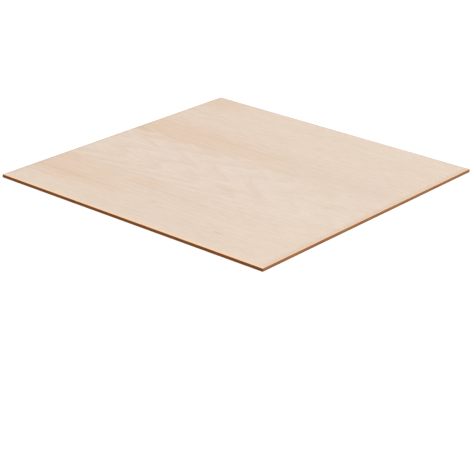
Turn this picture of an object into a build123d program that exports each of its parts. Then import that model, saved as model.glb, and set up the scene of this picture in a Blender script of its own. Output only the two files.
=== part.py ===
from build123d import *
import os

# A sheet of three-ply craft plywood.
# Each ply is one peeled veneer and a piece of its own. The plies are glued face to face,
# with the grain of the core at right angles to the grain of the two outer veneers.
# Origin at the middle of the underside. +X runs along the grain of the outer veneers,
# +Y runs across it and along the grain of the core, and +Z points out of the good face.

# Driving dimensions, in millimetres
sheet_length = 300.0  # along the grain of the outer veneers
sheet_width = 300.0  # across the grain of the outer veneers
back_thickness = 0.5  # pale veneer on the underside
core_thickness = 2.0  # brown veneer between the two pale ones
face_thickness = 0.5  # pale veneer on the good side
arris_easing = 0.15  # bevel that sanding leaves round the rim of each outer face

# An eased rim takes at most this share of its own veneer, so the glued face stays whole
largest_easing_share = 0.8

# The lay-up, from the underside up: the ply's name, its thickness and its outer face, if any
lay_up = [
    ("back_veneer", back_thickness, "bottom"),
    ("core_ply", core_thickness, None),
    ("face_veneer", face_thickness, "top"),
]


def trimmed_outline(height):
    """The outline that the saw gives all the plies together, at this height."""
    return Plane.XY.offset(height) * Rectangle(sheet_length, sheet_width)


def ply(thickness, glue_line, outer_face):
    """One veneer with its underside at the height glue_line, eased where it is outermost."""
    veneer = extrude(trimmed_outline(glue_line), amount=thickness)
    if outer_face is None:
        return veneer
    bevel = min(arris_easing, largest_easing_share * thickness)
    faces_upward = veneer.faces().sort_by(Axis.Z)
    outermost = faces_upward[-1] if outer_face == "top" else faces_upward[0]
    return chamfer(outermost.edges(), bevel)


def press(layers):
    """Stacks the plies face to face and returns them by name."""
    plies = {}
    glue_line = 0.0
    for name, thickness, outer_face in layers:
        plies[name] = ply(thickness, glue_line, outer_face)
        glue_line += thickness
    return plies


os.makedirs("parts", exist_ok=True)
for name, veneer in press(lay_up).items():
    export_step(veneer, f"parts/{name}.step")
    print(name, "box", veneer.bounding_box().min, veneer.bounding_box().max)
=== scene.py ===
# %% [markdown]
# # A sheet of three-ply plywood
#
# This lesson dresses one sheet of craft plywood in Blender. The sheet is 300 mm square and
# 3 mm thick: a pale veneer, a brown core laid across it, and a second pale veneer.
#
# The shape comes packed from CAD as one plain solid for each ply. Here each ply gets a finer
# mesh with an eased rim and a worked edge, and materials for sanded and for cut wood.
#
# The object stands in metres, as in CAD. X runs along the grain of the two pale veneers,
# Y runs along the grain of the core, and Z points up out of the good face.

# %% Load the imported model
import math
import random

import bpy
from mathutils import Matrix, Vector, noise


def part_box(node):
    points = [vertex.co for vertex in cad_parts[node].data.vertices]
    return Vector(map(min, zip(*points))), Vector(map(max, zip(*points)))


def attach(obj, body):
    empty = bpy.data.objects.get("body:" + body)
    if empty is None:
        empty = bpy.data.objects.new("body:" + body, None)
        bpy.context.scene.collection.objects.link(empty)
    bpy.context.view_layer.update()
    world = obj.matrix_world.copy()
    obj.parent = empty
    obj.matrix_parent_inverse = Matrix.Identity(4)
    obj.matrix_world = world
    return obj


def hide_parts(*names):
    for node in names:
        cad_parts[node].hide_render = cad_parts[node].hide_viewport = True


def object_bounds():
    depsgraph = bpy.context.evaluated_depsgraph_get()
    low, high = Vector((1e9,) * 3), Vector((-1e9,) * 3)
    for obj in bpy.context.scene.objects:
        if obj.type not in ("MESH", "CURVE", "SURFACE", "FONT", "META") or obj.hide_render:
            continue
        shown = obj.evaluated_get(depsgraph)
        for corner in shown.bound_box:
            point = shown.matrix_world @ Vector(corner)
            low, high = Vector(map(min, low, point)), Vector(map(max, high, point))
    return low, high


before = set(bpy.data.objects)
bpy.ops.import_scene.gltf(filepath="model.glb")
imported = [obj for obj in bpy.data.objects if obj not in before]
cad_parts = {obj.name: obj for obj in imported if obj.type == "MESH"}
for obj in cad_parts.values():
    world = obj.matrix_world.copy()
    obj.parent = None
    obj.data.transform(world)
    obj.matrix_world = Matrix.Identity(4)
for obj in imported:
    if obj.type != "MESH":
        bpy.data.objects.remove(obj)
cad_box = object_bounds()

print("CAD box", [tuple(corner) for corner in cad_box])

# %% [markdown]
# ## Sizes
#
# Plywood is spoken of in millimetres, and Blender counts in metres. All that follows is
# worked out in millimetres and turned into metres at the last moment, where a mesh or a
# light is made. The levels of the two glue lines are read from the CAD, not typed in.

# %% Sizes of the sheet and its plies
MM = 0.001

sheet_high = Vector(cad_box[1]) / MM
half_length = sheet_high.x
half_width = sheet_high.y
top_level = sheet_high.z
core_low, core_high = (corner.z / MM for corner in map(Vector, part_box("core_ply")))

print("half length", half_length, "half width", half_width, "top", top_level)
print("glue lines at", core_low, "and", core_high)

# %% [markdown]
# ## The camera
#
# A photograph is matched by its camera, not by bending the object. A long lens far away
# keeps the four edges of the sheet almost parallel in pairs, as they are in a catalogue
# picture. Three angles turn the camera, and a step back along its own axes places it, so
# the corners of the face fall where they do in the picture without any lens shift.

# %% Directions of the camera
azimuth = math.radians(39.58)
elevation = math.radians(23.22)
roll = math.radians(1.32)

ahead = Vector(
    (
        -math.sin(azimuth) * math.cos(elevation),
        math.cos(azimuth) * math.cos(elevation),
        -math.sin(elevation),
    )
)
level_right = ahead.cross(Vector((0, 0, 1))).normalized()
level_down = ahead.cross(level_right)
right = level_right * math.cos(roll) - level_down * math.sin(roll)
down = level_right * math.sin(roll) + level_down * math.cos(roll)
print("camera looks along", tuple(round(part, 4) for part in ahead))

# %% Camera at the photograph's viewing angle
LENS_LENGTH = 124.33
step_back = Vector((3.70, -57.36, 1467.21)) * MM  # to the right, down and ahead
middle_of_face = Vector((0, 0, top_level * MM))
lens_place = middle_of_face - right * step_back.x - down * step_back.y - ahead * step_back.z

camera_data = bpy.data.cameras.new("camera")
camera_data.sensor_width = 36
camera_data.lens = LENS_LENGTH
camera = bpy.data.objects.new("camera", camera_data)
axes = Matrix((right, -down, -ahead)).transposed().to_4x4()
camera.matrix_world = Matrix.Translation(lens_place) @ axes
bpy.context.scene.collection.objects.link(camera)
bpy.context.scene.camera = camera
print("camera at", tuple(round(part, 4) for part in lens_place), "lens", LENS_LENGTH)

# %% [markdown]
# ## The four cut sides
#
# A plain box would have the right size, but its edge would look like card. A real sheet has
# four sawn sides with relief on them. It could come from a displacement modifier, but the
# sheet is a hundred times as long as it is thick, and cells fine enough for the edge would
# number millions on the face. So the wall is built point by point: a ring of upright columns
# goes round the sheet, closer together where something small happens.
#
# The four sides are listed in order, each with the direction of travel along it and the way
# out of the sheet.

# %% The sides
SIDES = [
    (Vector((1, 0)), Vector((0, -1))),
    (Vector((0, 1)), Vector((1, 0))),
    (Vector((-1, 0)), Vector((0, 1))),
    (Vector((0, -1)), Vector((-1, 0))),
]


def reach_of(way):
    """How far the sheet reaches from its middle in this direction."""
    return abs(way.x) * half_length + abs(way.y) * half_width


print("the sides lie", [reach_of(out) for _, out in SIDES], "from the middle")

# %% [markdown]
# ## Lathe checks
#
# Veneer is peeled off a turning log and pressed flat, and that opens fine cracks, the lathe
# checks. They show where the saw cuts across the fibres. Each is a hair wide, a little
# slanted, and closes before it reaches the top of its ply. A seeded dice throws their
# places, so they fall unevenly and yet in the same places each time.

# %% Lathe checks on an end-grain side
CHECK_SPACING = (1.6, 5.2)
CHECK_WIDTH = (0.04, 0.09)  # from its middle to each lip
CHECK_DEPTH = (0.06, 0.18)
CHECK_RISE = (0.35, 0.8)  # share of the ply's thickness
CHECK_LEAN = (-0.25, 0.25)  # sideways on the way up
CLEAR_OF_CORNER = 4
CLEAR_OF_LINE = 0.6  # the face's grid lines stay free


def lathe_checks(length, grid, seed):
    """Where the fine cracks of one end-grain side are, and how wide and deep they go."""
    dice = random.Random(seed)
    checks = []
    at = -length + CLEAR_OF_CORNER
    while at < length - CLEAR_OF_CORNER:
        at += dice.uniform(*CHECK_SPACING)
        near_line = min(abs(at - line) for line in grid) < CLEAR_OF_LINE
        if near_line or at > length - CLEAR_OF_CORNER:
            continue
        checks.append(
            {
                "at": round(at, 4),
                "width": dice.uniform(*CHECK_WIDTH),
                "depth": dice.uniform(*CHECK_DEPTH),
                "rise": dice.uniform(*CHECK_RISE),
                "lean": dice.uniform(*CHECK_LEAN),
            }
        )
    return checks


print("checks on one trial side", len(lathe_checks(half_length, [0.0], 1)))

# %% [markdown]
# ## Columns along a side
#
# Plain stretches need a column every millimetre and a half. The face's grid needs one at
# each of its lines, and a check needs three close together: two lips and the crack between.

# %% Stations of the columns
COLUMN_SPACING = 1.5
CLEAR_OF_CHECK = 0.5


def check_places(check):
    """The two lips of a lathe check and its middle, along the side."""
    return [check["at"] + shift * check["width"] for shift in (-1, 0, 1)]


def stations(length, grid, checks):
    """Places along a straight side, with three close together at each lathe check."""
    places = set(grid)
    count = math.ceil(2 * length / COLUMN_SPACING)
    for step in range(count + 1):
        places.add(round(-length + 2 * length * step / count, 4))
    for check in checks:
        crowded = {
            place
            for place in places
            if abs(place - check["at"]) < CLEAR_OF_CHECK and place not in grid
        }
        places -= crowded
        places |= set(check_places(check))
    return sorted(places)


print("columns on a side without checks", len(stations(half_length, [], [])))

# %% [markdown]
# ## The ring round the sheet
#
# The upright corners are a little blunt, as handling leaves them. Three columns round each
# corner are enough for a quarter of a millimetre.

# %% The ring of columns
CORNER_RADIUS = 0.25


def corner_column(side, neighbour, share):
    """A column on the corner towards a neighbouring side, at a share of the turn."""
    out = SIDES[side][1]
    turn = share * math.pi / 2
    way = neighbour * math.cos(turn) + out * math.sin(turn)
    hub = out * reach_of(out) + neighbour * reach_of(neighbour)
    place = hub - (out + neighbour) * CORNER_RADIUS + way * CORNER_RADIUS
    return {
        "place": place, "out": way, "side": side, "along": None, "check": None,
        "lean": Vector((0, 0)),
    }


def side_columns(side, grid, checks):
    """The columns of one side, from the corner before it to the corner after it."""
    travel, out = SIDES[side]
    before, after = SIDES[side - 1][1], SIDES[(side + 1) % 4][1]
    at_check = {check["at"]: check for check in checks}
    leans = {place: check["lean"] for check in checks for place in check_places(check)}
    columns = [corner_column(side, before, 0.5), corner_column(side, before, 0.75)]
    for along in stations(reach_of(travel) - CORNER_RADIUS, grid, checks):
        columns.append(
            {
                "place": out * reach_of(out) + travel * along,
                "out": out,
                "side": side,
                "along": along,
                "check": at_check.get(along),
                "lean": travel * leans.get(along, 0.0),
            }
        )
    columns.append(corner_column(side, after, 0.75))
    return columns


print("columns on one side with its corners", len(side_columns(0, [], [])))

# %% [markdown]
# ## How deep the edge is cut
#
# Every number here is a depth into the sheet, never out of it, so the mesh can't grow past
# the CAD model. Along the grain the fibres leave long shallow ridges. Across it their ends
# make a fine even roughness. Blender's own noise function gives the same relief each time.

# %% Relief of a cut edge
SAW_WAVE = 0.012
SAW_WAVE_LENGTH = 9
SIDE_SHIFT = 31.7  # moves the noise on, so that no two sides are alike
FIBRE_RIDGE = 0.018
FIBRE_RIDGE_LENGTH = 21
FIBRE_RIDGE_HEIGHT = 0.21
FIBRE_ENDS = 0.010
FIBRE_ENDS_LENGTH = 1.1
FIBRE_ENDS_HEIGHT = 0.4


def rough(depth, place, length, third):
    """Soft noise between nothing and twice the depth, with swells of this length."""
    x, y = place
    return depth * (1 + noise.noise(Vector((x / length, y / length, third))))


def edge_relief(column, level, end_grain):
    """Depth of the cut at this column and level, in millimetres."""
    place = column["place"]
    wave = rough(SAW_WAVE, place, SAW_WAVE_LENGTH, column["side"] * SIDE_SHIFT)
    if end_grain:
        fine = rough(FIBRE_ENDS, place, FIBRE_ENDS_LENGTH, level / FIBRE_ENDS_HEIGHT)
    else:
        fine = rough(FIBRE_RIDGE, place, FIBRE_RIDGE_LENGTH, level / FIBRE_RIDGE_HEIGHT)
    return wave + fine


print("relief along the grain is at most", 2 * (SAW_WAVE + FIBRE_RIDGE), "mm deep")

# %% How far the wall is set back
CORNER_FADE = 40  # the higher, the nearer to the corner the relief dies away


def check_depth(check, share_up):
    """A check is deepest at the underside of its ply and closes on the way up."""
    return check["depth"] * max(0.0, 1 - (share_up / check["rise"]) ** 2)


def cut_back(column, level, share_up, end_grain):
    """How far the relief and a check set the wall back at one point."""
    away_from_corner = 1 - abs(column["along"] / half_length) ** CORNER_FADE
    depth = away_from_corner * edge_relief(column, level, end_grain)
    if column["check"]:
        depth += check_depth(column["check"], share_up)
    return depth


print("a check is at most", CHECK_DEPTH[1], "mm deep")

# %% [markdown]
# ## The wall's profile
#
# Sanding eases the rim of each outer face, and a glue line lies a little back from the edge.
# A bevel modifier would round the edges that it is given in one way. Instead each ply lists
# the levels of its wall and how far each is set back, so one end can be eased and the other
# grooved.

# %% Wall profile, from the lower edge of a ply to its upper edge
GLUE_GROOVE = 0.05
EASING = 0.15  # the bevel that the CAD model has round each outer face
LEVEL_SPACING = 0.22

# Distance from the face, set-back; the last pair is the face itself
EASED_RIM = [(0.16, 0.0), (0.085, 0.03), (0.03, 0.08), (0.0, EASING)]
GROOVED_RIM = [(0.07, 0.0), (0.02, 0.6 * GLUE_GROOVE), (0.0, GLUE_GROOVE)]


def wall_profile(low, high, outer):
    """Pairs of level and set-back up the wall, eased at the outer face."""
    under = EASED_RIM if outer == "bottom" else GROOVED_RIM
    over = EASED_RIM if outer == "top" else GROOVED_RIM
    profile = [(low + rise, back) for rise, back in reversed(under)]
    inside_low, inside_high = low + under[0][0], high - over[0][0]
    steps = max(2, round((inside_high - inside_low) / LEVEL_SPACING))
    for step in range(1, steps):
        profile.append((inside_low + (inside_high - inside_low) * step / steps, 0.0))
    profile += [(high - drop, back) for drop, back in over]
    return profile


print("levels of the core's wall", len(wall_profile(core_low, core_high, None)))

# %% [markdown]
# ## The two big faces
#
# The middle of a big face is a grid of square cells. Between the outermost grid points and
# the ring lie fans of triangles, one for each pair of neighbouring columns, so no gap is
# left anywhere and no triangle is squashed flat. A corner of a cell is named by where it is:
# on the ring, or on the grid.

# %% The cells of a big face
def number_the_grid(columns, lines, count):
    """Marks the columns that stand on a grid line with the nearest grid point inside."""
    for column in columns:
        if column["along"] in lines:
            step = lines.index(column["along"]) + 1
            back = count - step
            column["grid"] = [(step, 1), (count - 1, step), (back, count - 1), (1, back)][
                column["side"]
            ]


def border_fans(columns):
    """Triangles between the ring and the outermost grid points, in order seen from above."""
    stops = [number for number, column in enumerate(columns) if "grid" in column]
    fans = []
    for here, there in zip(stops, stops[1:] + stops[:1]):
        walk = range(here, there + 1 + (len(columns) if there < here else 0))
        ring = [("ring", number % len(columns)) for number in walk]
        first, last = ("grid", columns[here]["grid"]), ("grid", columns[there]["grid"])
        turn = len(ring) // 2
        for number, (one, next_one) in enumerate(zip(ring, ring[1:])):
            fans.append([one, next_one, first if number < turn else last])
        if first != last:
            fans.append([ring[turn], last, first])
    return fans


def middle_cells(count):
    """The square cells of the grid, seen from above."""
    return [
        [("grid", (x + right, y + up)) for right, up in ((0, 0), (1, 0), (1, 1), (0, 1))]
        for x in range(1, count - 1)
        for y in range(1, count - 1)
    ]


print("square cells on a face of 60 by 60", len(middle_cells(60)))

# %% [markdown]
# ## Points and faces of one ply
#
# The points come first: the ring at each level of the wall, then the grid of the lower face
# and of the upper one. A veneer swells by a hair where the core shows through, so its free
# face is sunk by soft noise. Then each face is a list of point numbers, kept with the part
# of the ply that it belongs to.

# %% Points of a ply
SURFACE_SWELL = 0.012
SWELL_LENGTH = 60  # along the grain of the core
SWELL_WIDTH = 13


def wall_points(columns, profile, end_sides):
    """The ring of columns at each level of the wall, set back by its relief."""
    low, high = profile[0][0], profile[-1][0]
    points = []
    for level, set_back in profile:
        share_up = (level - low) / (high - low)
        for column in columns:
            back = set_back
            if column["along"] is not None and low < level < high:
                back += cut_back(column, level, share_up, end_sides[column["side"]])
            place = column["place"] + column["lean"] * (share_up - 0.5) - column["out"] * back
            points.append((place.x, place.y, level))
    return points


def face_points(lines, level, inward, seed):
    """The grid of one big face, sunk inward by the swell of the veneer."""
    points = []
    for x in lines:
        for y in lines:
            place = Vector((x / SWELL_WIDTH, y / SWELL_LENGTH, seed))
            swell = SURFACE_SWELL * (1 + noise.noise(place))
            points.append((x, y, level + inward * swell))
    return points


print("a free face is sunk by at most", 2 * SURFACE_SWELL, "mm")

# %% Faces of a ply
def corner_number(corner, ring_start, grid_start, count):
    """The number of a point that a cell names by its place on the ring or the grid."""
    kind, place = corner
    if kind == "ring":
        return ring_start + place
    return grid_start + (place[0] - 1) * (count - 1) + place[1] - 1


def big_faces(columns, levels, count, outer):
    """Both big faces as point numbers, each with the part: outer or glued."""
    around = len(columns)
    grid_size = (count - 1) ** 2
    faces, parts = [], []
    for end, ring_start, grid_start in (
        ("top", (levels - 1) * around, levels * around + grid_size),
        ("bottom", 0, levels * around),
    ):
        for cell in border_fans(columns) + middle_cells(count):
            corners = cell if end == "top" else cell[::-1]
            faces.append(
                [corner_number(corner, ring_start, grid_start, count) for corner in corners]
            )
            parts.append(("outer" if end == outer else "glued", None, None))
    return faces, parts


def wall_faces(around, levels):
    """The wall as point numbers, each face with its level and its first column."""
    faces, parts = [], []
    for row in range(levels - 1):
        for here in range(around):
            there = (here + 1) % around
            below, above = row * around, (row + 1) * around
            faces.append([below + here, below + there, above + there, above + here])
            parts.append(("wall", row, here))
    return faces, parts


print("wall faces for a ring of 1300 columns and 8 levels", len(wall_faces(1300, 8)[0]))

# %% [markdown]
# ## A map for the bake
#
# When the model is exported, its materials are painted onto an image for each piece. Left
# alone, Blender would give a hair-thin edge less than a pixel. So each mesh brings its own
# map: the outer face fills most of it, each thin wall is stretched across a band of its
# own, and faces that are glued shut share one small square. The core has no outer face, so
# its walls are cut in quarters and get nearly the whole map.

# %% Places on the map
MAP_MARGIN = 0.004
MAP_GAP = 0.003
MAP_TOP = 0.998
FACE_END = 0.934
VENEER_BANDS_START = 0.942
VENEER_GLUED = (0.946, 0.996)
CORE_BANDS_END = 0.94
CORE_GLUED = (0.95, 0.99)


def wall_bands(right_end, bottom, cuts):
    """The band of each side, or part of a side: its span along and its span up."""
    pitch = (MAP_TOP - bottom) / (4 * cuts)
    bands = []
    for number in range(4 * cuts):
        low = bottom + number * pitch
        bands.append((MAP_MARGIN, right_end, low, low + pitch - MAP_GAP))
    return bands


def map_layout(outer):
    """Where the walls and the glued faces go, and in how many parts a wall is cut."""
    if outer:
        bands = wall_bands(FACE_END, VENEER_BANDS_START, 1)
        return {"cuts": 1, "bands": bands, "glued": VENEER_GLUED}
    return {"cuts": 4, "bands": wall_bands(CORE_BANDS_END, MAP_MARGIN, 4), "glued": CORE_GLUED}


print("bands on the map", len(map_layout("top")["bands"]), len(map_layout(None)["bands"]))

# %% Spots on the map
def on_square(place, low, high):
    """A point of a big face, laid into the square of the map from low to high."""
    span = high - low
    return (
        low + span * (place[0] + half_length) / (2 * half_length),
        low + span * (place[1] + half_width) / (2 * half_width),
    )


def face_spot(kind, place, layout):
    """Where a point of a big face lies on the map."""
    if kind == "outer":
        return on_square(place, MAP_MARGIN, FACE_END)
    low, high = layout["glued"]
    along, up = on_square(place, low, high)
    return along, up - low + MAP_MARGIN


def paced_out(columns, profile):
    """Distances round the ring, where each side starts in them, and the climb of the wall."""
    around, starts = [0.0], {}
    for here, column in enumerate(columns):
        there = columns[(here + 1) % len(columns)]
        starts.setdefault(column["side"], around[-1])
        around.append(around[-1] + (there["place"] - column["place"]).length)
    starts[4] = around[-1]
    climb = [0.0]
    for (level, back), (next_level, next_back) in zip(profile, profile[1:]):
        climb.append(climb[-1] + math.hypot(next_level - level, next_back - back))
    return around, starts, climb


def wall_spots(side, here, row, paces, layout):
    """Where the four corners of a wall face lie on the map."""
    around, starts, climb = paces
    start, length = starts[side], starts[side + 1] - starts[side]
    cuts = layout["cuts"]
    middle = (around[here] + around[here + 1]) / 2 - start
    cut = min(int(cuts * middle / length), cuts - 1)
    left, right_end, low, high = layout["bands"][side * cuts + cut]
    spots = []
    for column, level in ((here, row), (here + 1, row), (here + 1, row + 1), (here, row + 1)):
        along = (around[column] - start) / length * cuts - cut
        up = climb[level] / climb[-1]
        spots.append((left + (right_end - left) * along, low + (high - low) * up))
    return spots


print("the middle of the face is at", on_square((0, 0), MAP_MARGIN, FACE_END), "on the map")

# %% [markdown]
# ## One ply as a closed mesh
#
# Now the lists become a mesh. Each ply has two material slots: 0 is sanded wood and 1 is cut
# wood. The eased rim of the good face was sanded with it, so it takes slot 0. The mesh is
# shaded smooth, apart from edges that turn by more than an angle, so the rim stays crisp.

# %% Dress a mesh with its map and slots
SHARP_ANGLE = math.radians(38)


def is_sanded(kind, row, profile, outer):
    """Whether a face is sanded: an outer face, or the eased rim of the good face."""
    upper_half = kind == "wall" and row > len(profile) / 2
    return kind == "outer" or (outer == "top" and upper_half and profile[row][1] > 0)


def dress_mesh(mesh, points, parts, columns, profile, outer):
    """Gives each face its spots on the map and its slot, and shades the mesh smooth."""
    spots = mesh.uv_layers.new(name="OFBake").data
    layout = map_layout(outer)
    paces = paced_out(columns, profile)
    for face, (kind, row, here) in zip(mesh.polygons, parts):
        if kind == "wall":
            corners = wall_spots(columns[here]["side"], here, row, paces, layout)
        else:
            corners = [face_spot(kind, points[number], layout) for number in face.vertices]
        for loop, corner in zip(face.loop_indices, corners):
            spots[loop].uv = corner
        face.material_index = 0 if is_sanded(kind, row, profile, outer) else 1
    mesh.set_sharp_from_angle(angle=SHARP_ANGLE)


print("edges sharper than", round(math.degrees(SHARP_ANGLE)), "degrees stay crisp")

# %% Build a ply
def build_ply(name, node, outer, grain, count, seed):
    """Makes the mesh of one ply between the levels of its CAD node."""
    low, high = (Vector(corner).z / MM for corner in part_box(node))
    lines = [round(-half_length + 2 * half_length * n / count, 4) for n in range(1, count)]
    end_sides = [abs(out.dot(grain)) > 0.5 for _, out in SIDES]
    columns = []
    for side in range(4):
        checks = lathe_checks(half_length, lines, seed + side) if end_sides[side] else []
        columns += side_columns(side, lines, checks)
    number_the_grid(columns, lines, count)
    profile = wall_profile(low, high, outer)

    points = wall_points(columns, profile, end_sides)
    points += face_points(lines, low, 1 if outer == "bottom" else 0, seed)
    points += face_points(lines, high, -1 if outer == "top" else 0, seed)
    faces, parts = big_faces(columns, len(profile), count, outer)
    more_faces, more_parts = wall_faces(len(columns), len(profile))

    mesh = bpy.data.meshes.new(name)
    mesh.from_pydata([Vector(point) * MM for point in points], [], faces + more_faces)
    dress_mesh(mesh, points, parts + more_parts, columns, profile, outer)
    mesh.validate()
    piece = bpy.data.objects.new(name, mesh)
    bpy.context.scene.collection.objects.link(piece)
    triangles = sum(len(face.vertices) - 2 for face in mesh.polygons)
    print(name, "columns", len(columns), "levels", len(profile), "triangles", triangles)
    return piece


# %% [markdown]
# ## The three plies
#
# The veneers have a fine grid, because their free faces swell, and the core a coarse one.
# Each new mesh takes the place of its CAD node, rides on the same body, and is painted from
# the same slot of the record.

# %% Make the plies
VENEER_CELLS = 60  # along a side
CORE_CELLS = 12
along_x = Vector((1, 0))
along_y = Vector((0, 1))

back_veneer = build_ply(
    "back_veneer_sheet", "back_veneer", "bottom", along_x, VENEER_CELLS, seed=11
)
core_ply = build_ply("core_ply_sheet", "core_ply", None, along_y, CORE_CELLS, seed=23)
face_veneer = build_ply(
    "face_veneer_sheet", "face_veneer", "top", along_x, VENEER_CELLS, seed=37
)

for piece, node in (
    (back_veneer, "back_veneer"),
    (core_ply, "core_ply"),
    (face_veneer, "face_veneer"),
):
    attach(piece, "root")
    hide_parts(node)

# %% [markdown]
# ## Helpers for material nodes
#
# A material is a small machine of nodes. These helpers keep each step on one line: `add`
# makes a node, `feed` gives a socket a number or a wire, `reckon` does one sum, and `fade`
# turns a number into a soft mask.

# %% Node helpers
def add(tree, kind, **settings):
    """Makes a shader node and sets it up."""
    made = tree.nodes.new("ShaderNode" + kind)
    for setting, value in settings.items():
        setattr(made, setting, value)
    return made


def feed(tree, socket, value):
    """Gives a socket either a wire from another socket or a fixed value."""
    if isinstance(value, bpy.types.NodeSocket):
        tree.links.new(value, socket)
    else:
        socket.default_value = value


def reckon(tree, operation, *values, clamp=False):
    """One sum on numbers."""
    made = add(tree, "Math", operation=operation, use_clamp=clamp)
    for socket, value in zip(made.inputs, values):
        feed(tree, socket, value)
    return made.outputs[0]


def fade(tree, value, start, end, low=0.0, high=1.0):
    """Goes smoothly from low, where the value is start, to high, where it is end."""
    made = add(tree, "MapRange", interpolation_type="SMOOTHSTEP")
    for socket, number in zip(made.inputs[:5], (value, start, end, low, high)):
        feed(tree, socket, number)
    return made.outputs[0]


print("helpers for numbers:", add.__name__, feed.__name__, reckon.__name__, fade.__name__)

# %% [markdown]
# ## Helpers for places
#
# Wood looks different along and across its grain. So nearly every pattern first counts the
# place on the sheet in steps, long ones along the grain and short ones across it, and then
# asks for noise there. `in_steps` does the counting. An axis with no step is left out,
# because Blender answers 0 when it is asked to divide by 0.

# %% Helpers for vectors and noise
def parts_of(tree, vector):
    """The x, y and z of a vector."""
    made = add(tree, "SeparateXYZ")
    feed(tree, made.inputs[0], vector)
    return made.outputs


def vector_of(tree, x=0.0, y=0.0, z=0.0):
    """A vector put together from three numbers."""
    made = add(tree, "CombineXYZ")
    for socket, value in zip(made.inputs, (x, y, z)):
        feed(tree, socket, value)
    return made.outputs[0]


def in_steps(tree, position, *steps):
    """The position counted in steps of so many millimetres along x, y and z."""
    made = add(tree, "VectorMath", operation="DIVIDE")
    feed(tree, made.inputs[0], position)
    feed(tree, made.inputs[1], vector_of(tree, *steps))
    return made.outputs[0]


def clouds(tree, vector, seed, detail=2.0, roughness=0.5):
    """Soft noise between 0 and 1, about 0.5 on average."""
    made = add(tree, "TexNoise", noise_dimensions="4D")
    feed(tree, made.inputs["Vector"], vector)
    feed(tree, made.inputs["W"], seed)
    made.inputs["Scale"].default_value = 1.0
    made.inputs["Detail"].default_value = detail
    made.inputs["Roughness"].default_value = roughness
    return made.outputs["Fac"]


def cells_at(tree, vector, **settings):
    """Random cells, one to each step."""
    made = add(tree, "TexVoronoi", **settings)
    made.inputs["Scale"].default_value = 1.0
    feed(tree, made.inputs["Vector"], vector)
    return made.outputs


print("helpers for places:", in_steps.__name__, clouds.__name__, cells_at.__name__)

# %% [markdown]
# ## Helpers for node groups
#
# An effect that several materials share is a node group: a small box with named sockets,
# built once and placed with its own values in each material. A change in the group then
# shows in all of them.

# %% Node group helpers
def open_group(name, inputs, outputs):
    """Starts a node group and returns it with its sockets, ready to be wired."""
    group = bpy.data.node_groups.new(name, "ShaderNodeTree")
    for label, start in inputs.items():
        kind = "NodeSocketVector" if isinstance(start, tuple) else "NodeSocketFloat"
        socket = group.interface.new_socket(name=label, in_out="INPUT", socket_type=kind)
        socket.default_value = start
    for label in outputs:
        group.interface.new_socket(name=label, in_out="OUTPUT", socket_type="NodeSocketFloat")
    print("group", name, "gives", outputs)
    return (
        group,
        group.nodes.new("NodeGroupInput").outputs,
        group.nodes.new("NodeGroupOutput").inputs,
    )


def place_group(tree, group, values):
    """Puts a node group into a material or another group, with its own values."""
    made = add(tree, "Group", node_tree=group)
    for label, value in values.items():
        feed(tree, made.inputs[label], value)
    return made.outputs


print("helpers for groups:", open_group.__name__, place_group.__name__)

# %% [markdown]
# ## Node group: the figure of peeled veneer
#
# A veneer lathe turns the log against a knife and takes off one long ribbon. Where the
# knife skims along a growth ring, the ring shows as wide nested arches, and to either side
# the rings close up into straight lines.
#
# It could be painted by hand or made from bands of noise. Here a height is built whose
# whole numbers are the rings: along the grain it climbs one ring for each arch, and a given
# curve says how it climbs across the grain. Noise makes both wander a little.

# %% Sockets of the figure
figure, given, result = open_group(
    "Peeled figure",
    {
        "Position": (0.0, 0.0, 0.0),
        "Seed": 0.0,
        "Arch spacing": 47.0,
        "Crest": 18.0,
        "Crest slope": -0.05,
        "Fan": 44.0,
        "Fan growth": 0.14,
        "Foot": -64.0,
        "Wander": 5.0,
        "Clear until": -30.0,
        "Faint from": 120.0,
    },
    ["Late wood", "Early wood", "Tone"],
)

# %% [markdown]
# ## Steps across the figure
#
# Going across the grain towards minus y, a point first meets the crest of the arches. From
# there across the fan, where they spread, is one step, and on to the foot, where they
# close, is another. Beyond crest and foot a step is a fixed width. The crest and the fan
# change along the sheet, because a log tapers.

# %% Steps across the figure
LONG_SWAY_SIZE = (95.0, 30.0)
SHORT_SWAY_SIZE = (22.0, 7.0)
FLANK_STEP = 40.0  # millimetres to a step outside the arches

x, y = parts_of(figure, given["Position"])[:2]
place = given["Position"]
long_sway = clouds(figure, in_steps(figure, place, *LONG_SWAY_SIZE), given["Seed"], 1.0)
short_sway = clouds(figure, in_steps(figure, place, *SHORT_SWAY_SIZE), given["Seed"], 2.0)
push = reckon(figure, "MULTIPLY_ADD", short_sway, 0.5, long_sway)
push = reckon(figure, "MULTIPLY", reckon(figure, "SUBTRACT", push, 0.75), given["Wander"])
crest = reckon(figure, "MULTIPLY_ADD", x, given["Crest slope"], given["Crest"])
below = reckon(figure, "SUBTRACT", crest, reckon(figure, "ADD", y, push))
fan = reckon(figure, "MULTIPLY_ADD", x, given["Fan growth"], given["Fan"])
to_foot = reckon(figure, "SUBTRACT", crest, given["Foot"])

above_crest = reckon(figure, "DIVIDE", reckon(figure, "MINIMUM", below, 0.0), FLANK_STEP)
in_fan = reckon(figure, "DIVIDE", below, fan, clamp=True)
past_fan = reckon(figure, "SUBTRACT", below, fan)
in_foot = reckon(figure, "DIVIDE", past_fan, reckon(figure, "SUBTRACT", to_foot, fan), clamp=True)
past_foot = reckon(figure, "MAXIMUM", reckon(figure, "SUBTRACT", below, to_foot), 0.0)
past_foot = reckon(figure, "DIVIDE", past_foot, FLANK_STEP)
step = reckon(figure, "ADD", reckon(figure, "ADD", above_crest, in_fan),
              reckon(figure, "ADD", in_foot, past_foot))
from_middle = reckon(figure, "ABSOLUTE", reckon(figure, "SUBTRACT", step, 1.0))
print("nodes that count the steps", len(figure.nodes))
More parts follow.
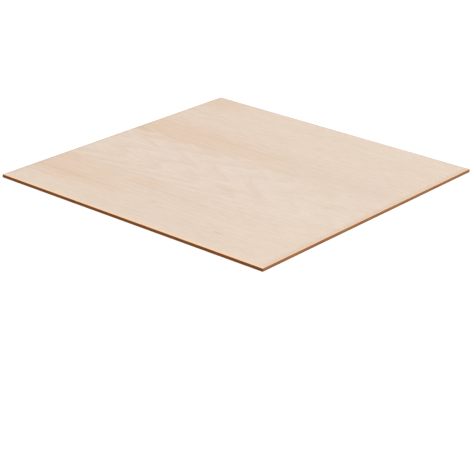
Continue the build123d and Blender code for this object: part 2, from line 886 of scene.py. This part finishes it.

# %% [markdown]
# ## The curve across the rings
#
# The curve is given point by point. It falls to nothing at step 0 and step 1, where two rows
# of arches have their tips, and climbs steeply to both sides, where the rings lie close.

# %% Rings climbed across the grain
ARCH_CURVE = [
    # steps across the grain, rings climbed there
    (-3.6, 17.0),
    (-1.5, 6.6),
    (-0.6, 2.2),
    (-0.3, 0.9),
    (-0.12, 0.25),
    (0.0, 0.0),
    (0.14, 0.12),
    (0.32, 0.5),
    (0.48, 0.74),
    (0.66, 0.55),
    (0.86, 0.12),
    (1.0, 0.0),
    (1.1, 0.2),
    (1.3, 0.62),
    (1.5, 0.45),
    (1.62, 0.4),
    (1.8, 0.85),
    (2.0, 1.6),
    (2.3, 3.2),
    (3.2, 8.0),
    (4.6, 17.0),
]
MOST_RINGS = 17.0
first_step, last_step = ARCH_CURVE[0][0], ARCH_CURVE[-1][0]

ring_curve = add(figure, "FloatCurve")
points = ring_curve.mapping.curves[0].points
spots = [
    ((steps - first_step) / (last_step - first_step), rings / MOST_RINGS)
    for steps, rings in ARCH_CURVE
]
points[0].location = spots[0]
points[-1].location = spots[-1]
for spot in spots[1:-1]:
    points.new(*spot)
ring_curve.mapping.update()
share = reckon(figure, "SUBTRACT", step, first_step)
feed(figure, ring_curve.inputs["Value"],
     reckon(figure, "DIVIDE", share, last_step - first_step))
climb_across = reckon(figure, "MULTIPLY", ring_curve.outputs[0], MOST_RINGS)
print("points on the curve", len(points))

# %% [markdown]
# ## Rings along the grain
#
# Along the grain the height climbs one ring for each arch, but only between the flanks.
# The fraction of the height is the place within one ring: 0 where the year starts and 1
# where it ends. Late in the year the wood grows dark and dense, and then the next year
# starts pale.

# %% Place within a ring
TIP_PLACE = 150.0  # one arch has its tip at this x
TIP_SWAY = 22.0

arched = fade(figure, from_middle, 1.05, 1.35, 1.0, 0.06)
along = reckon(figure, "MULTIPLY_ADD", reckon(figure, "SUBTRACT", short_sway, 0.5), TIP_SWAY, x)
along = reckon(figure, "SUBTRACT", along, TIP_PLACE)
climb_along = reckon(figure, "MULTIPLY",
                     reckon(figure, "DIVIDE", along, given["Arch spacing"]), arched)
ring = reckon(figure, "FRACT", reckon(figure, "ADD", climb_along, climb_across))

year = add(figure, "ValToRGB")
year.color_ramp.interpolation = "EASE"
for stop in year.color_ramp.elements:
    stop.color = (0.3, 0.3, 0.3, 1)
for season, shade in ((0.12, 0.0), (0.5, 0.12), (0.8, 0.62), (0.92, 1.0)):
    year.color_ramp.elements.new(season).color = (shade, shade, shade, 1)
feed(figure, year.inputs[0], ring)
print("stops in the year", len(year.color_ramp.elements))

# %% Masks of the figure
TONE_SIZE = (120.0, 17.0)

strength = fade(figure, short_sway, 0.3, 0.65, 0.35, 1.0)
strength = reckon(figure, "MULTIPLY", strength, fade(figure, from_middle, 1.8, 2.9, 1.0, 0.35))
clear = fade(figure, x, given["Clear until"], given["Faint from"], 1.0, 0.45)
strength = reckon(figure, "MULTIPLY", strength, clear)
feed(figure, result["Late wood"], reckon(figure, "MULTIPLY", year.outputs[0], strength))

early = reckon(figure, "MULTIPLY", fade(figure, ring, 0.0, 0.16), fade(figure, ring, 0.7, 0.2))
early = reckon(figure, "MULTIPLY", early, fade(figure, from_middle, 1.0, 1.5, 1.0, 0.0))
feed(figure, result["Early wood"], reckon(figure, "MULTIPLY", early, strength))

tone = clouds(figure, in_steps(figure, place, *TONE_SIZE), given["Seed"], 3.0, 0.55)
feed(figure, result["Tone"], tone)
print("nodes in the figure", len(figure.nodes))

# %% [markdown]
# ## Node group: wood fibre
#
# Up close, wood is a bundle of fine tubes. Cut along their length they show as silky
# streaks, with the largest tubes open as short dark dashes, the pores. Noise stretched
# along the grain makes the streaks, and stretched cells make the pores. The same group
# serves a sanded face and a cut edge, at different widths.

# %% Wood fibre
STREAK_HEIGHT = 0.012
PORE_HEIGHT = 0.02

fibre, given, result = open_group(
    "Wood fibre",
    {
        "Position": (0.0, 0.0, 0.0),
        "Seed": 0.0,
        "Fibre length": 30.0,
        "Fibre width": 0.36,
        "Pore length": 2.1,
        "Pore width": 0.15,
        "Pore share": 0.28,
    },
    ["Streak", "Pore", "Height"],
)
place = given["Position"]
length, width = given["Fibre length"], given["Fibre width"]
stretched = in_steps(fibre, place, length, width, width)
streak = fade(fibre, clouds(fibre, stretched, given["Seed"], 4.0, 0.65), 0.3, 0.7)

length, width = given["Pore length"], given["Pore width"]
cells = cells_at(fibre, in_steps(fibre, place, length, width, width))
chosen = add(fibre, "SeparateColor")
feed(fibre, chosen.inputs[0], cells["Color"])
open_here = reckon(fibre, "LESS_THAN", chosen.outputs[0], given["Pore share"])
hollow = fade(fibre, cells["Distance"], 0.42, 0.0)
pore = reckon(fibre, "MULTIPLY", hollow, open_here)

feed(fibre, result["Streak"], streak)
feed(fibre, result["Pore"], pore)
height = reckon(fibre, "SUBTRACT", reckon(fibre, "MULTIPLY", streak, STREAK_HEIGHT),
                reckon(fibre, "MULTIPLY", pore, PORE_HEIGHT))
feed(fibre, result["Height"], height)
print("nodes in the fibre", len(fibre.nodes))

# %% [markdown]
# ## Node group: a stain in the wood
#
# Pale veneer is never one colour. Warmer and cooler streaks follow the grain and fade out
# at their ends. Each one is given: a middle, a half length, a half width. Its rim
# is feathered by noise that runs along the grain, so it never looks like an ellipse.

# %% Stain
FEATHER_SIZE = (34.0, 3.6)
FEATHER_STRENGTH = 1.8

stain, given, result = open_group(
    "Stain",
    {
        "Position": (0.0, 0.0, 0.0),
        "Middle": (0.0, 0.0, 0.0),
        "Half length": 60.0,
        "Half width": 12.0,
        "Seed": 0.0,
    },
    ["Mask"],
)
place = given["Position"]
offset = add(stain, "VectorMath", operation="SUBTRACT")
feed(stain, offset.inputs[0], place)
feed(stain, offset.inputs[1], given["Middle"])
far = add(stain, "VectorMath", operation="LENGTH")
feed(stain, far.inputs[0],
     in_steps(stain, offset.outputs[0], given["Half length"], given["Half width"]))
feather = clouds(stain, in_steps(stain, place, *FEATHER_SIZE), given["Seed"], 3.0, 0.6)
ragged = reckon(stain, "MULTIPLY_ADD", reckon(stain, "SUBTRACT", feather, 0.5),
                FEATHER_STRENGTH, far.outputs["Value"])
feed(stain, result["Mask"], fade(stain, ragged, 1.1, 0.0))
print("nodes in the stain", len(stain.nodes))

# %% [markdown]
# ## Node group: the rim of the cut
#
# Beside two of the cut edges, the end at plus x and the side at minus y, the face is warmer
# for a few millimetres. Along the arris itself a thin peach line is a painted highlight, the
# light that the eased rim would catch. A line could be painted on the mesh, but its width
# would hang on the cells. So the group measures how far a point is from those two edges and
# fades out over a reach that noise makes uneven.

# %% Cut rim
RIM_NOISE_SIZE = (9.0, 9.0)

cut_rim, given, result = open_group(
    "Cut rim",
    {"Position": (0.0, 0.0, 0.0), "End at x": 150.0, "Side at y": -150.0, "Reach": 2.0},
    ["End", "Side"],
)
x, y = parts_of(cut_rim, given["Position"])[:2]
uneven = clouds(cut_rim, in_steps(cut_rim, given["Position"], *RIM_NOISE_SIZE), 3.0, 3.0)
for label, room in (
    ("End", reckon(cut_rim, "SUBTRACT", given["End at x"], x)),
    ("Side", reckon(cut_rim, "SUBTRACT", y, given["Side at y"])),
):
    share = reckon(cut_rim, "DIVIDE", room, given["Reach"])
    share = reckon(cut_rim, "MULTIPLY_ADD", uneven, 0.4, share)
    feed(cut_rim, result[label], fade(cut_rim, share, 1.2, 0.3))
print("nodes in the rim", len(cut_rim.nodes))

# %% [markdown]
# ## Node group: a glue line
#
# Two plies meet in a dark hairline of glue. It sits at one level of the edge, wavers by a
# few hundredths of a millimetre, and is strong in some places and starved in others. A
# strip of mesh for it would be thinner than any other piece, so it is a mask on the wood.

# %% Glue line
WAVER_SIZE = (5.0, 5.0)
WAVER_HEIGHT = 0.08

glue_line, given, result = open_group(
    "Glue line",
    {"Position": (0.0, 0.0, 0.0), "Level": 0.0, "Thickness": 0.1},
    ["Mask"],
)
place = given["Position"]
waver = clouds(glue_line, in_steps(glue_line, place, *WAVER_SIZE), given["Level"], 3.0)
lifted = reckon(glue_line, "MULTIPLY_ADD", reckon(glue_line, "SUBTRACT", waver, 0.5),
                WAVER_HEIGHT, parts_of(glue_line, place)["Z"])
away = reckon(glue_line, "ABSOLUTE", reckon(glue_line, "SUBTRACT", lifted, given["Level"]))
line = fade(glue_line, reckon(glue_line, "DIVIDE", away, given["Thickness"]), 1.0, 0.3)
starved = fade(glue_line, waver, 0.3, 0.6, 0.45, 1.0)
feed(glue_line, result["Mask"], reckon(glue_line, "MULTIPLY", line, starved))
print("nodes in the glue line", len(glue_line.nodes))

# %% [markdown]
# ## Node group: end grain
#
# Seen end on, the fibres are a field of dark dots, and the lathe checks are fine slanting
# cracks through the ply. The widest cracks are in the mesh already, and there are too many
# fine ones to model. Tall slanting cells give them along their borders, and small round
# cells give the dots. The cut edge tints the fine cracks dark, as painted shade inside them.

# %% End grain
CRACK_HEIGHT = 4.5
CRACK_SLANT = 0.35
TORN_SIZE = (1.3, 0.9)
DOT_SIZE = (0.12, 0.12)
CRACK_DEPTH = 0.05
DOT_DEPTH = 0.01

end_grain, given, result = open_group(
    "End grain",
    {"Position": (0.0, 0.0, 0.0), "Seed": 0.0, "Crack spacing": 1.7},
    ["Crack", "Dot", "Height"],
)
across, up = parts_of(end_grain, given["Position"])[1:]
section = vector_of(end_grain, across, up)
slanting = vector_of(end_grain, reckon(end_grain, "MULTIPLY_ADD", up, CRACK_SLANT, across), up)
cracks = cells_at(
    end_grain, in_steps(end_grain, slanting, given["Crack spacing"], CRACK_HEIGHT),
    voronoi_dimensions="2D", feature="DISTANCE_TO_EDGE",
)
torn = clouds(end_grain, in_steps(end_grain, section, *TORN_SIZE), given["Seed"])
crack = reckon(end_grain, "MULTIPLY", fade(end_grain, cracks["Distance"], 0.055, 0.01),
               fade(end_grain, torn, 0.42, 0.6))
dots = cells_at(end_grain, in_steps(end_grain, section, *DOT_SIZE), voronoi_dimensions="2D")
dot = fade(end_grain, dots["Distance"], 0.4, 0.15)
depth = reckon(end_grain, "MULTIPLY_ADD", crack, -CRACK_DEPTH,
               reckon(end_grain, "MULTIPLY", dot, -DOT_DEPTH))
feed(end_grain, result["Crack"], crack)
feed(end_grain, result["Dot"], dot)
feed(end_grain, result["Height"], depth)
print("nodes in the end grain", len(end_grain.nodes))

# %% [markdown]
# ## Mixing colours
#
# Colours are written as a paint chart gives them, from 0 to 255. `lay_over` works like a
# thin coat of stain: a tint goes over what is there, where a mask lets it through.

# %% Colour helpers
def paint(red, green, blue):
    """A colour given from 0 to 255, for a shader socket."""

    def unbent(part):
        part /= 255
        return part / 12.92 if part <= 0.04045 else ((part + 0.055) / 1.055) ** 2.4

    return (unbent(red), unbent(green), unbent(blue), 1.0)


def blend_colours(tree, share, first, second):
    """Goes from the first colour to the second by a share between 0 and 1."""
    made = add(tree, "Mix", data_type="RGBA")
    feed(tree, made.inputs["Factor"], share)
    feed(tree, made.inputs["A"], first)
    feed(tree, made.inputs["B"], second)
    return made.outputs["Result"]


def lay_over(tree, colour, tint, mask, strength):
    """Lays a tint over a colour where the mask is, no stronger than the strength."""
    return blend_colours(tree, reckon(tree, "MULTIPLY", mask, strength), colour, tint)


print("mid grey on the chart is", round(paint(128, 128, 128)[0], 3), "to the shader")

# %% [markdown]
# ## The start of every wood material
#
# Each wood is a Principled shader. It reads the place on the sheet in millimetres, so the
# pattern is tied to the object and not to the view. Relief of a hundredth of a millimetre
# is too fine to model, so it goes through a Bump node.

# %% Open a material
def open_material(name, shine):
    """A Principled material, the position on the sheet in millimetres, and the facing."""
    material = bpy.data.materials.new(name)
    material.use_nodes = True
    tree = material.node_tree
    shader = tree.nodes["Principled BSDF"]
    shader.inputs["Specular IOR Level"].default_value = shine
    places = add(tree, "TexCoord")
    in_mm = add(tree, "VectorMath", operation="SCALE")
    in_mm.inputs["Scale"].default_value = 1 / MM
    feed(tree, in_mm.inputs[0], places.outputs["Object"])
    return material, tree, shader, in_mm.outputs[0], places.outputs["Normal"]


def raise_relief(tree, shader, height):
    """Feeds a height in millimetres to the shader's normal."""
    bump = add(tree, "Bump")
    bump.inputs["Strength"].default_value = 1.0
    bump.inputs["Distance"].default_value = MM
    feed(tree, bump.inputs["Height"], height)
    feed(tree, shader.inputs["Normal"], bump.outputs[0])


print("wood reads its place in steps of", MM, "m")

# %% [markdown]
# ## Material: a sanded veneer face
#
# Both outer faces are the same wood from the same lathe, so one recipe makes both, with
# its own colours, seed and stains. The colour is built up as a painter would: a pale
# ground, broad tones, the stains, the rings, the fine streaks, the pores, and last the rim
# with its painted arris highlight.

# %% Ground and rim of a sanded face
RIM_COATS = [
    # tint, edge, reach, strength
    ("end rim", "End", 7.5, 0.85),
    ("side rim", "Side", 7.0, 0.6),
    # the two arris coats are painted highlights, the light that the eased rim would catch
    ("end arris highlight", "End", 2.4, 0.7),
    ("side arris highlight", "Side", 3.0, 0.8),
]


def stained_ground(tree, position, seed, tone, tones, stains):
    """The pale ground with its broad tones and its stains."""
    colour = blend_colours(tree, fade(tree, tone, 0.3, 0.7), tones["light"], tones["deep"])
    for number, (tint, middle, half_long, half_wide, strength) in enumerate(stains):
        spread = place_group(tree, stain, {
            "Position": position, "Middle": (*middle, 0.0), "Half length": half_long,
            "Half width": half_wide, "Seed": seed + 10 * number,
        })
        colour = lay_over(tree, colour, tones[tint], spread["Mask"], strength)
    return colour


def rim_and_arris_highlight(tree, position, colour, tones):
    """The face with the warm rim and the painted arris highlight along its two cut edges."""
    edges = {"Position": position, "End at x": half_length, "Side at y": -half_width}
    for tint, edge, reach, strength in RIM_COATS:
        mask = place_group(tree, cut_rim, edges | {"Reach": reach})[edge]
        colour = lay_over(tree, colour, tones[tint], mask, strength)
    return colour


print("coats on the rim", [coat[0] for coat in RIM_COATS])

# %% Recipe for a sanded face
FACE_SHINE = 0.35
FACE_ROUGHNESS = 0.50
RING_HEIGHT = 0.006


def sanded_face(name, seed, tones, figure_values, stains):
    """One outer face, from pale ground to rim."""
    material, tree, shader, position, _ = open_material(name, FACE_SHINE)
    here = {"Position": position, "Seed": seed}
    rings = place_group(tree, figure, here | figure_values)
    threads = place_group(tree, fibre, here)
    silk = place_group(tree, fibre, {
        "Position": position, "Seed": seed + 5, "Fibre length": 12.0, "Fibre width": 3.6,
    })

    colour = stained_ground(tree, position, seed, rings["Tone"], tones, stains)
    for tint, mask, strength in (
        ("pale", rings["Early wood"], 0.75),
        ("late wood", rings["Late wood"], tones["ring strength"]),
        ("late wood", silk["Streak"], 0.30),
        ("late wood", threads["Streak"], 0.30),
        ("pore", threads["Pore"], 0.55),
    ):
        colour = lay_over(tree, colour, tones[tint], mask, strength)
    feed(tree, shader.inputs["Base Color"], rim_and_arris_highlight(tree, position, colour, tones))

    roughness = reckon(tree, "MULTIPLY_ADD", threads["Streak"], 0.10, FACE_ROUGHNESS)
    roughness = reckon(tree, "MULTIPLY_ADD", rings["Late wood"], -0.05, roughness)
    feed(tree, shader.inputs["Roughness"], roughness)
    height = reckon(tree, "MULTIPLY_ADD", rings["Late wood"], RING_HEIGHT, threads["Height"])
    raise_relief(tree, shader, height)
    print(name, "nodes", len(tree.nodes))
    return material


print("a sanded face has the roughness", FACE_ROUGHNESS)

# %% [markdown]
# ## The good face
#
# The colours come first, and then what lies on them. Broad warm bands run in from the left
# end, and a dull band crosses above the arches. Thin shaded lines mark single rings, and
# three small flecks are pin marks.

# %% Colours of the good face
good_tones = {
    "light": paint(240, 220, 204),
    "deep": paint(237, 219, 200),
    "late wood": paint(214, 190, 168),
    "ring strength": 0.35,
    "warm": paint(231, 193, 157),
    "cool": paint(237, 222, 208),
    "dull": paint(223, 206, 192),
    "pale": paint(240, 225, 212),
    "shade": paint(214, 190, 169),
    "pore": paint(176, 146, 116),
    "side rim": paint(243, 216, 189),
    "end rim": paint(221, 195, 170),
    # the two arris tints are painted highlights along the cut edges
    "side arris highlight": paint(255, 216, 174),
    "end arris highlight": paint(236, 199, 167),
}
print("tones of the good face", list(good_tones))

# %% Stains of the good face
good_stains = [
    # tint, middle, half length, half width, strength
    ("warm", (0, 42), 420, 34, 0.08),
    ("warm", (-120, -82), 170, 38, 0.11),
    ("cool", (120, -10), 230, 200, 0.30),
    ("cool", (-76, -6), 44, 24, 0.45),
    ("cool", (-13, 5), 70, 22, 0.45),
    ("pale", (-8, 2), 120, 20, 0.34),
    ("pale", (100, -38), 100, 34, 0.35),
    ("pale", (75, 135), 70, 26, 0.16),
    ("warm", (-112, 43), 205, 42, 0.40),
    ("warm", (-144, 28), 88, 17, 0.46),
    ("warm", (-150, -90), 150, 48, 0.26),
    ("warm", (-120, -107), 92, 15, 0.48),
    ("warm", (-148, -74), 50, 13, 0.34),
    ("warm", (-38, -76), 30, 11, 0.44),
    ("warm", (-136, 138), 46, 38, 0.40),
    ("warm", (35, -42), 60, 12, 0.18),
    ("warm", (95, -76), 34, 12, 0.10),
    ("warm", (134, -54), 30, 15, 0.10),
    ("dull", (100, 40), 90, 32, 0.26),
    ("dull", (15, -80), 80, 40, 0.16),
    ("dull", (30, -132), 170, 26, 0.28),
    ("dull", (120, 60), 110, 150, 0.10),
]
good_lines = [
    ("shade", (-132, 26), 34, 3.8, 0.46),
    ("shade", (-66, 27), 36, 3.6, 0.42),
    ("shade", (32, 25), 44, 3.4, 0.38),
    ("shade", (-20, 50), 110, 3.2, 0.22),
    ("shade", (-120, -106), 76, 3.6, 0.28),
    ("shade", (-138, -121), 66, 3.8, 0.30),
    ("shade", (-52, -68), 64, 3.6, 0.30),
    ("shade", (-4, -84), 80, 3.0, 0.22),
    ("shade", (104, -14), 50, 3.2, 0.24),
    ("shade", (32, -41), 62, 3.0, 0.18),
    ("shade", (-138, 102), 36, 3.4, 0.28),
]
good_flecks = [
    ("pore", (78, -120), 7.0, 2.4, 0.36),
    ("pore", (-7, -107), 5.0, 2.2, 0.32),
    ("pore", (-83, -43), 4.0, 1.6, 0.28),
]
good_face = sanded_face(
    "good_face_wood", 4.0, good_tones, {}, good_stains + good_lines + good_flecks
)

# %% [markdown]
# ## The underside
#
# The underside is the same wood, a little darker and with wider, calmer arches. A sheet's
# poorer veneer goes there, so it has two pin marks and no pale patches. Only what differs
# from the good face is written down.

# %% Colours and stains of the underside
under_tones = good_tones | {
    "light": paint(233, 212, 193),
    "deep": paint(228, 206, 184),
    "ring strength": 0.38,
    "pale": paint(238, 219, 202),
}
under_stains = [
    # tint, middle, half length, half width, strength
    ("warm", (90, -20), 170, 26, 0.30),
    ("warm", (-60, 105), 150, 16, 0.22),
    ("shade", (40, 20), 330, 30, 0.14),
    ("warm", (-100, -90), 90, 12, 0.25),
    ("shade", (20, -62), 120, 4.0, 0.30),
    ("pore", (-40, 62), 4.5, 1.8, 0.40),
    ("pore", (55, -118), 5.0, 2.0, 0.40),
]
under_figure = {
    "Arch spacing": 78.0, "Crest": 34.0, "Crest slope": 0.06, "Fan": 52.0, "Fan growth": 0.05,
    "Foot": -62.0, "Wander": 8.0, "Clear until": 20.0, "Faint from": 170.0,
}
under_face = sanded_face("underside_wood", 31.0, under_tones, under_figure, under_stains)

# %% [markdown]
# ## Material: a cut edge
#
# The blade ran hot and toned every edge brown, the pale veneers too. The recipe turns the
# position so that the grain always runs along x, and then asks which way the wall faces:
# across the grain it shows end grain, darker and cracked, and along the grain it shows
# long fibres, lighter and streaked.

# %% Colours of the two kinds of grain
def changed_over(tree, position):
    """The position with x and y changed over."""
    x, y, z = parts_of(tree, position)
    return vector_of(tree, y, x, z)


def long_grain_colour(tree, position, seed, tones):
    """The colour of long fibres with their pores, their streaks and their height."""
    threads = place_group(tree, fibre, {
        "Position": position, "Seed": seed, "Fibre length": 16.0, "Fibre width": 0.22,
        "Pore length": 2.0, "Pore width": 0.16, "Pore share": 0.3,
    })
    colour = blend_colours(tree, threads["Streak"], tones["long light"], tones["long dark"])
    colour = lay_over(tree, colour, tones["crack"], threads["Pore"], 0.4)
    return colour, threads["Streak"], threads["Height"]


def end_grain_colour(tree, position, seed, tones):
    """The colour of end grain in soft bands, with dots, cracks darkened as painted shade, and its
    height.
    """
    bands = place_group(tree, fibre, {
        "Position": changed_over(tree, position), "Seed": seed + 2, "Fibre length": 11.0,
        "Fibre width": 0.3,
    })
    ends = place_group(tree, end_grain, {"Position": position, "Seed": seed})
    colour = blend_colours(tree, bands["Streak"], tones["end light"], tones["end dark"])
    colour = lay_over(tree, colour, tones["crack"], ends["Dot"], 0.25)
    # the fine cracks are darkened as painted shade, standing in for the shade inside them
    colour = lay_over(tree, colour, tones["crack"], ends["Crack"], 0.7)
    return colour, ends["Height"]


print("kinds of grain:", long_grain_colour.__name__, end_grain_colour.__name__)

# %% Recipe for a cut edge
EDGE_SHINE = 0.08
EDGE_ROUGHNESS = 0.58
BURN_SIZE = (26.0, 26.0, 1.4)


def cut_edge(name, seed, grain, tones, glue_levels):
    """The cut edge of a ply whose grain runs along x or y."""
    material, tree, shader, position, facing = open_material(name, EDGE_SHINE)
    turned = changed_over(tree, position) if grain == "y" else position
    toward_grain = parts_of(tree, facing)[grain.upper()]
    end_on = fade(tree, reckon(tree, "ABSOLUTE", toward_grain), 0.5, 0.85)

    long_colour, streak, long_height = long_grain_colour(tree, turned, seed, tones)
    end_colour, end_height = end_grain_colour(tree, turned, seed, tones)
    colour = blend_colours(tree, end_on, long_colour, end_colour)
    burn = clouds(tree, in_steps(tree, position, *BURN_SIZE), seed, 3.0, 0.6)
    ember = fade(tree, burn, 0.52, 0.75, 0.0, 0.45)
    colour = blend_colours(tree, ember, colour, tones["ember"])
    smoke = fade(tree, burn, 0.45, 0.25, 0.0, 0.5)
    colour = blend_colours(tree, smoke, colour, tones["smoke"])
    for level in glue_levels:
        line = place_group(tree, glue_line, {"Position": position, "Level": level})
        colour = lay_over(tree, colour, tones["glue"], line["Mask"], 0.75)
    feed(tree, shader.inputs["Base Color"], colour)

    roughness = reckon(tree, "MULTIPLY_ADD", streak, 0.12, EDGE_ROUGHNESS)
    feed(tree, shader.inputs["Roughness"], roughness)
    end_height = reckon(tree, "MULTIPLY", end_height, end_on)
    long_height = reckon(tree, "MULTIPLY", long_height, reckon(tree, "SUBTRACT", 1.0, end_on))
    raise_relief(tree, shader, reckon(tree, "ADD", end_height, long_height))
    print(name, "nodes", len(tree.nodes))
    return material


print("a cut edge has the roughness", EDGE_ROUGHNESS)

# %% [markdown]
# ## The edges of the three plies
#
# The core is darker than the veneers, and scorched where the blade dwelt. The end grain of
# the face veneer stayed the palest. The end grain of the back veneer is the same wood painted
# darker, as painted shadow along the foot of the edge. The core has a glue line at both
# faces, and each veneer has one.

# %% Edges of the core and of the two veneers
core_tones = {
    "long light": paint(182, 130, 86),
    "long dark": paint(140, 86, 48),
    "end light": paint(160, 98, 46),
    "end dark": paint(128, 68, 22),
    "ember": paint(184, 102, 46),
    "smoke": paint(100, 54, 22),
    # dark tint of pores and dots, and painted shade in the fine cracks
    "crack": paint(76, 38, 14),
    "glue": paint(86, 44, 18),
}
veneer_tones = core_tones | {
    "long light": paint(180, 122, 72),
    "long dark": paint(144, 88, 44),
    "end light": paint(198, 152, 112),
    "end dark": paint(172, 122, 82),
}
# the back veneer's end grain is painted darker than the face veneer's: painted shadow
back_tones_with_painted_shadow = veneer_tones | {
    "end light": paint(172, 120, 80),
    "end dark": paint(146, 94, 56),
}
core_edge = cut_edge("core_edge_wood", 7.0, "y", core_tones, [core_low, core_high])
face_edge = cut_edge("face_edge_wood", 15.0, "x", veneer_tones, [core_high])
back_edge = cut_edge("back_edge_wood", 19.0, "x", back_tones_with_painted_shadow, [core_low])

# %% [markdown]
# ## The materials on the plies
#
# Slot 0 takes the sanded wood and slot 1 the cut wood. The core shows only its edge.

# %% Put the materials on the plies
for piece, materials in (
    (back_veneer, (under_face, back_edge)),
    (core_ply, (core_edge, core_edge)),
    (face_veneer, (good_face, face_edge)),
):
    for material in materials:
        piece.data.materials.append(material)
    print(piece.name, [material.name for material in piece.data.materials])

# %% [markdown]
# ## Floor, background and light
#
# The picture was taken on endless white. More light would bleach the wood, so the white
# comes from elsewhere: to the camera the world is plain white, and the floor adds a little
# glow of its own. For all other rays the world is a soft grey dome, and the floor is a
# pale matt board that throws light back up and keeps the shadow of the sheet.

# %% Floor
FLOOR_SIZE = 4.4
FLOOR_GLOW = 0.42
FLOOR_DROP = 0.00005  # keeps the floor from fighting with the underside for the same level
FLOOR_PAINT = (0.8, 0.8, 0.8, 1)


def seen_directly(tree):
    """1 for camera, glossy and transmission rays, and 0 for rays that only bring light."""
    rays = add(tree, "LightPath")
    shown = reckon(tree, "MAXIMUM", rays.outputs["Is Camera Ray"], rays.outputs["Is Glossy Ray"])
    return reckon(tree, "MAXIMUM", shown, rays.outputs["Is Transmission Ray"])


bpy.ops.mesh.primitive_plane_add(size=FLOOR_SIZE, location=(0, 0, -FLOOR_DROP))
floor = bpy.context.object
floor.name = "studio_floor"
board = bpy.data.materials.new("white_board")
board.use_nodes = True
tree = board.node_tree
tree.nodes.clear()
matt = add(tree, "BsdfDiffuse")
matt.inputs["Color"].default_value = FLOOR_PAINT
glow = add(tree, "Emission")
feed(tree, glow.inputs["Strength"], reckon(tree, "MULTIPLY", seen_directly(tree), FLOOR_GLOW))
both = add(tree, "AddShader")
feed(tree, both.inputs[0], matt.outputs[0])
feed(tree, both.inputs[1], glow.outputs[0])
feed(tree, add(tree, "OutputMaterial").inputs["Surface"], both.outputs[0])
floor.data.materials.append(board)
print("floor", FLOOR_SIZE, "m wide")

# %% World
DOME_LIGHT = 0.52

world = bpy.data.worlds.new("studio")
bpy.context.scene.world = world
world.use_nodes = True
tree = world.node_tree
sky = tree.nodes["Background"]
sky.inputs["Color"].default_value = (1, 1, 1, 1)
shown = seen_directly(tree)
feed(tree, sky.inputs["Strength"],
     reckon(tree, "MULTIPLY_ADD", shown, 1 - DOME_LIGHT, DOME_LIGHT))
bpy.context.scene.view_settings.view_transform = "Standard"
print("the dome gives", DOME_LIGHT, "of white")

# %% [markdown]
# ## The key lamp
#
# A big soft lamp stands over the right-hand side. It lights the face and the right edge,
# and leaves the left edge to the dome, as in the picture.

# %% Key lamp
LAMP_DISTANCE = 5.0
LAMP_WIDTH = 3.0
LAMP_WATTS = 151.0

lamp_from = Vector((0.62, -0.10, 0.95)).normalized()
lamp_data = bpy.data.lights.new("softbox", "AREA")
lamp_data.shape = "SQUARE"
lamp_data.size = LAMP_WIDTH
lamp_data.energy = LAMP_WATTS
softbox = bpy.data.objects.new("softbox", lamp_data)
softbox.location = lamp_from * LAMP_DISTANCE
softbox.rotation_euler = lamp_from.to_track_quat("Z", "Y").to_euler()
bpy.context.scene.collection.objects.link(softbox)
print("softbox at", tuple(round(part, 3) for part in softbox.location), "watts", LAMP_WATTS)
